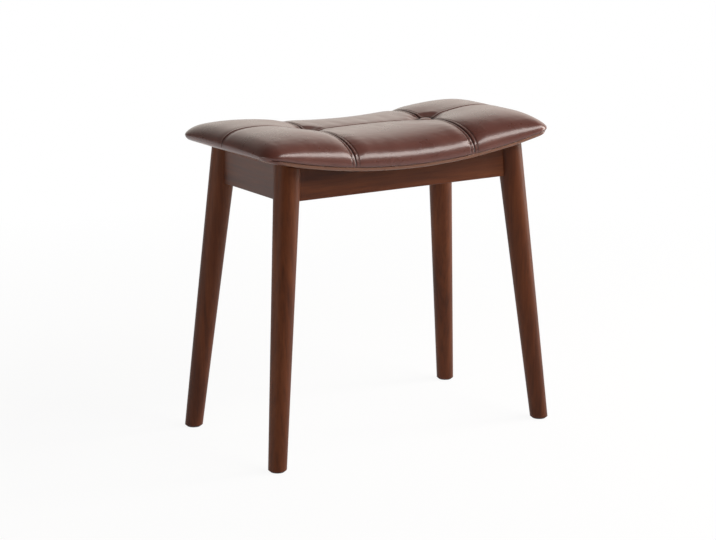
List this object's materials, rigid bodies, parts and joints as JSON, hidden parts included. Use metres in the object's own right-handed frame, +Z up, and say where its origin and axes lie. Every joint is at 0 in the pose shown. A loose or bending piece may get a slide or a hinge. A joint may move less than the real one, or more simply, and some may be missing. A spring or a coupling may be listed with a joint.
{
  "type": "upholstered stool",
  "caption": "Backless stool with a saddle-curved, tufted leather seat on splayed, tapered round wooden legs joined by a low rail frame.",
  "frame": {"origin": "on the floor under the middle of the stool, at the height of the glides' undersides", "axes": "+X along the seat's length, +Y to the back across the seat, +Z up"},
  "size_m": [0.4678, 0.2632, 0.4476],
  "materials": {
    "oxblood_leather": "dark oxblood-brown corrected-grain leather, satin, waxed",
    "walnut": "dark walnut stain, satin lacquer",
    "beech": "bare planed beech",
    "plywood": "bare bent plywood",
    "seat_foam": "open-cell polyurethane foam, soft",
    "dust_cloth": "black spun non-woven cloth",
    "zinc_plated_steel": "bright zinc plate",
    "brass": "plain turned",
    "waxed_twine": "waxed, twisted",
    "nylon": "matt moulded"
  },
  "bodies": {
    "root": {"back_rail": "walnut", "corner_block_back_left": "beech", "corner_block_back_right": "beech", "corner_block_front_left": "beech", "corner_block_front_right": "beech", "corner_block_screws": "zinc_plated_steel", "dust_cover": "dust_cloth", "foot_glide_back_left": "nylon", "foot_glide_back_right": "nylon", "foot_glide_front_left": "nylon", "foot_glide_front_right": "nylon", "front_rail": "walnut", "left_rail": "walnut", "leg_back_left": "walnut", "leg_back_right": "walnut", "leg_front_left": "walnut", "leg_front_right": "walnut", "right_rail": "walnut", "seat_board": "plywood", "seat_bolt_washers": "zinc_plated_steel", "seat_bolts": "zinc_plated_steel", "seat_cover": "oxblood_leather", "seat_foam": "seat_foam", "threaded_inserts": "brass", "tuft_button_left": "oxblood_leather", "tuft_button_right": "oxblood_leather", "tufting_twine_left": "waxed_twine", "tufting_twine_right": "waxed_twine", "twine_anchor_left": "nylon", "twine_anchor_right": "nylon"}
  },
  "joints": []
}
